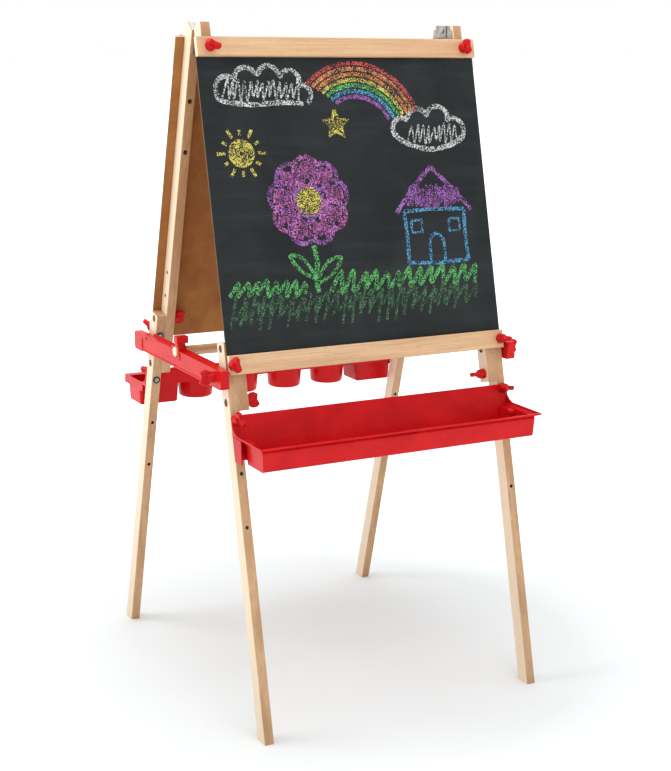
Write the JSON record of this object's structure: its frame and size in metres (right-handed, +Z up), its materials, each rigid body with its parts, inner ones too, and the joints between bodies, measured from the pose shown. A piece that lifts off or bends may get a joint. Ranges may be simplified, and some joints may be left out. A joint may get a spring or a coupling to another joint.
{
  "type": "flip chart easel",
  "caption": "Double-sided standing easel: hinged timber frames with a chalkboard and a dry-erase board, level braces, bolt-on trays and wing knobs.",
  "frame": {"origin": "on the floor, at the middle of the stance", "axes": "+Z up; the chalkboard faces -Y, the dry-erase board +Y, and +X is across the boards"},
  "size_m": [0.648, 0.6556, 1.194],
  "materials": {
    "light_timber": "clear satin lacquer",
    "chalkboard_paint": "matt painted hardboard",
    "white_melamine": "gloss melamine on hardboard",
    "red_plastic": "glossy moulded plastic",
    "zinc_steel": "bright zinc plate"
  },
  "bodies": {
    "front_frame": {"front_left_post": "light_timber", "front_right_post": "light_timber", "front_left_leg": "light_timber", "front_right_leg": "light_timber", "chalkboard": "chalkboard_paint", "front_bar_bolts": "zinc_steel", "front_tray": "red_plastic", "front_tray_bolts": "zinc_steel", "front_leg_bolts": "zinc_steel", "brace_bolts": "zinc_steel", "front_hinge_plates": "zinc_steel", "front_hinge_screws": "zinc_steel", "hinge_rivets": "zinc_steel"},
    "rear_frame": {"rear_left_post": "light_timber", "rear_right_post": "light_timber", "rear_left_leg": "light_timber", "rear_right_leg": "light_timber", "dry_erase_board": "white_melamine", "rear_bar_bolts": "zinc_steel", "rear_cup_tray": "red_plastic", "rear_tray_bolts": "zinc_steel", "rear_leg_bolts": "zinc_steel", "brace_hook_pins": "zinc_steel", "rear_hinge_plates": "zinc_steel", "rear_hinge_screws": "zinc_steel", "hinge_washers": "zinc_steel"},
    "left_brace": {"left_brace": "red_plastic", "left_keeper_pin": "zinc_steel"},
    "right_brace": {"right_brace": "red_plastic", "right_keeper_pin": "zinc_steel"},
    "left_dowel_keeper": {"left_dowel_keeper": "red_plastic"},
    "right_dowel_keeper": {"right_dowel_keeper": "red_plastic"},
    "paper_roll_dowel": {"paper_roll_dowel": "light_timber"},
    "front_top_bar": {"front_top_bar": "light_timber"},
    "front_bottom_bar": {"front_bottom_bar": "light_timber"},
    "rear_top_bar": {"rear_top_bar": "light_timber"},
    "rear_bottom_bar": {"rear_bottom_bar": "light_timber"},
    "front_top_left_knob": {"front_top_left_knob": "red_plastic"},
    "front_top_right_knob": {"front_top_right_knob": "red_plastic"},
    "front_bottom_left_knob": {"front_bottom_left_knob": "red_plastic"},
    "front_bottom_right_knob": {"front_bottom_right_knob": "red_plastic"},
    "front_tray_left_knob": {"front_tray_left_knob": "red_plastic"},
    "front_tray_right_knob": {"front_tray_right_knob": "red_plastic"},
    "front_left_leg_upper_knob": {"front_left_leg_upper_knob": "red_plastic"},
    "front_left_leg_lower_knob": {"front_left_leg_lower_knob": "red_plastic"},
    "front_right_leg_upper_knob": {"front_right_leg_upper_knob": "red_plastic"},
    "front_right_leg_lower_knob": {"front_right_leg_lower_knob": "red_plastic"},
    "rear_top_left_knob": {"rear_top_left_knob": "red_plastic"},
    "rear_top_right_knob": {"rear_top_right_knob": "red_plastic"},
    "rear_bottom_left_knob": {"rear_bottom_left_knob": "red_plastic"},
    "rear_bottom_right_knob": {"rear_bottom_right_knob": "red_plastic"},
    "rear_tray_left_knob": {"rear_tray_left_knob": "red_plastic"},
    "rear_tray_right_knob": {"rear_tray_right_knob": "red_plastic"},
    "rear_left_leg_upper_knob": {"rear_left_leg_upper_knob": "red_plastic"},
    "rear_left_leg_lower_knob": {"rear_left_leg_lower_knob": "red_plastic"},
    "rear_right_leg_upper_knob": {"rear_right_leg_upper_knob": "red_plastic"},
    "rear_right_leg_lower_knob": {"rear_right_leg_lower_knob": "red_plastic"},
    "left_brace_knob": {"left_brace_knob": "red_plastic"},
    "right_brace_knob": {"right_brace_knob": "red_plastic"}
  },
  "joints": [
    {"name": "frame_fold", "type": "hinge", "parent": "front_frame", "child": "rear_frame", "pos_m": [0, 0, 1.185], "axis": [-1, 0, 0], "range_deg": [0, 25]},
    {"name": "left_brace_lift", "type": "hinge", "parent": "front_frame", "child": "left_brace", "pos_m": [-0.29, -0.16139, 0.60939], "axis": [1, 0, 0], "range_deg": [0, 60]},
    {"name": "right_brace_lift", "type": "hinge", "parent": "front_frame", "child": "right_brace", "pos_m": [0.29, -0.16139, 0.60939], "axis": [1, 0, 0], "range_deg": [0, 60]},
    {"name": "left_keeper_open", "type": "hinge", "parent": "left_brace", "child": "left_dowel_keeper", "pos_m": [-0.29, 0.0165, 0.62849], "axis": [-1, 0, 0], "range_deg": [0, 100]},
    {"name": "right_keeper_open", "type": "hinge", "parent": "right_brace", "child": "right_dowel_keeper", "pos_m": [0.29, 0.0165, 0.62849], "axis": [-1, 0, 0], "range_deg": [0, 100]},
    {"name": "dowel_turn", "type": "hinge", "parent": "left_brace", "child": "paper_roll_dowel", "pos_m": [0, 0, 0.62199], "axis": [1, 0, 0], "continuous": true},
    {"name": "front_top_bar_loosen", "type": "slide", "parent": "front_frame", "child": "front_top_bar", "axis": [0, -0.9703, 0.2419], "range_m": [0, 0.003]},
    {"name": "front_bottom_bar_loosen", "type": "slide", "parent": "front_frame", "child": "front_bottom_bar", "axis": [0, -0.9703, 0.2419], "range_m": [0, 0.003]},
    {"name": "rear_top_bar_loosen", "type": "slide", "parent": "rear_frame", "child": "rear_top_bar", "axis": [0, 0.9703, 0.2419], "range_m": [0, 0.003]},
    {"name": "rear_bottom_bar_loosen", "type": "slide", "parent": "rear_frame", "child": "rear_bottom_bar", "axis": [0, 0.9703, 0.2419], "range_m": [0, 0.003]},
    {"name": "front_top_left_knob_turn", "type": "hinge", "parent": "front_top_bar", "child": "front_top_left_knob", "pos_m": [-0.2536, -0.05264, 1.15426], "axis": [0, -0.9703, 0.2419], "continuous": true},
    {"name": "front_top_right_knob_turn", "type": "hinge", "parent": "front_top_bar", "child": "front_top_right_knob", "pos_m": [0.2536, -0.05264, 1.15426], "axis": [0, -0.9703, 0.2419], "continuous": true},
    {"name": "front_bottom_left_knob_turn", "type": "hinge", "parent": "front_bottom_bar", "child": "front_bottom_left_knob", "pos_m": [-0.2719, -0.18304, 0.63128], "axis": [0, -0.9703, 0.2419], "continuous": true},
    {"name": "front_bottom_right_knob_turn", "type": "hinge", "parent": "front_bottom_bar", "child": "front_bottom_right_knob", "pos_m": [0.2719, -0.18304, 0.63128], "axis": [0, -0.9703, 0.2419], "continuous": true},
    {"name": "front_tray_left_knob_turn", "type": "hinge", "parent": "front_frame", "child": "front_tray_left_knob", "pos_m": [-0.2719, -0.19627, 0.53976], "axis": [0, -0.9703, 0.2419], "continuous": true},
    {"name": "front_tray_right_knob_turn", "type": "hinge", "parent": "front_frame", "child": "front_tray_right_knob", "pos_m": [0.2719, -0.19627, 0.53976], "axis": [0, -0.9703, 0.2419], "continuous": true},
    {"name": "front_left_leg_upper_knob_turn", "type": "hinge", "parent": "front_frame", "child": "front_left_leg_upper_knob", "pos_m": [-0.2446, -0.15026, 0.65402], "axis": [1, 0, 0], "continuous": true},
    {"name": "front_left_leg_lower_knob_turn", "type": "hinge", "parent": "front_frame", "child": "front_left_leg_lower_knob", "pos_m": [-0.2446, -0.17252, 0.56475], "axis": [1, 0, 0], "continuous": true},
    {"name": "front_right_leg_upper_knob_turn", "type": "hinge", "parent": "front_frame", "child": "front_right_leg_upper_knob", "pos_m": [0.2446, -0.15026, 0.65402], "axis": [-1, 0, 0], "continuous": true},
    {"name": "front_right_leg_lower_knob_turn", "type": "hinge", "parent": "front_frame", "child": "front_right_leg_lower_knob", "pos_m": [0.2446, -0.17252, 0.56475], "axis": [-1, 0, 0], "continuous": true},
    {"name": "rear_top_left_knob_turn", "type": "hinge", "parent": "rear_top_bar", "child": "rear_top_left_knob", "pos_m": [-0.2536, 0.05264, 1.15426], "axis": [0, 0.9703, 0.2419], "continuous": true},
    {"name": "rear_top_right_knob_turn", "type": "hinge", "parent": "rear_top_bar", "child": "rear_top_right_knob", "pos_m": [0.2536, 0.05264, 1.15426], "axis": [0, 0.9703, 0.2419], "continuous": true},
    {"name": "rear_bottom_left_knob_turn", "type": "hinge", "parent": "rear_bottom_bar", "child": "rear_bottom_left_knob", "pos_m": [-0.2719, 0.18304, 0.63128], "axis": [0, 0.9703, 0.2419], "continuous": true},
    {"name": "rear_bottom_right_knob_turn", "type": "hinge", "parent": "rear_bottom_bar", "child": "rear_bottom_right_knob", "pos_m": [0.2719, 0.18304, 0.63128], "axis": [0, 0.9703, 0.2419], "continuous": true},
    {"name": "rear_tray_left_knob_turn", "type": "hinge", "parent": "rear_frame", "child": "rear_tray_left_knob", "pos_m": [-0.2719, 0.19627, 0.53976], "axis": [0, 0.9703, 0.2419], "continuous": true},
    {"name": "rear_tray_right_knob_turn", "type": "hinge", "parent": "rear_frame", "child": "rear_tray_right_knob", "pos_m": [0.2719, 0.19627, 0.53976], "axis": [0, 0.9703, 0.2419], "continuous": true},
    {"name": "rear_left_leg_upper_knob_turn", "type": "hinge", "parent": "rear_frame", "child": "rear_left_leg_upper_knob", "pos_m": [-0.2446, 0.15026, 0.65402], "axis": [1, 0, 0], "continuous": true},
    {"name": "rear_left_leg_lower_knob_turn", "type": "hinge", "parent": "rear_frame", "child": "rear_left_leg_lower_knob", "pos_m": [-0.2446, 0.17252, 0.56475], "axis": [1, 0, 0], "continuous": true},
    {"name": "rear_right_leg_upper_knob_turn", "type": "hinge", "parent": "rear_frame", "child": "rear_right_leg_upper_knob", "pos_m": [0.2446, 0.15026, 0.65402], "axis": [-1, 0, 0], "continuous": true},
    {"name": "rear_right_leg_lower_knob_turn", "type": "hinge", "parent": "rear_frame", "child": "rear_right_leg_lower_knob", "pos_m": [0.2446, 0.17252, 0.56475], "axis": [-1, 0, 0], "continuous": true},
    {"name": "left_brace_knob_turn", "type": "hinge", "parent": "front_frame", "child": "left_brace_knob", "pos_m": [-0.3, -0.16139, 0.60939], "axis": [-1, 0, 0], "continuous": true},
    {"name": "right_brace_knob_turn", "type": "hinge", "parent": "front_frame", "child": "right_brace_knob", "pos_m": [0.3, -0.16139, 0.60939], "axis": [1, 0, 0], "continuous": true}
  ],
  "couplings": [
    {"joint": "left_brace_lift", "follows": "frame_fold", "ratio": 2.4},
    {"joint": "right_brace_lift", "follows": "frame_fold", "ratio": 2.4}
  ]
}
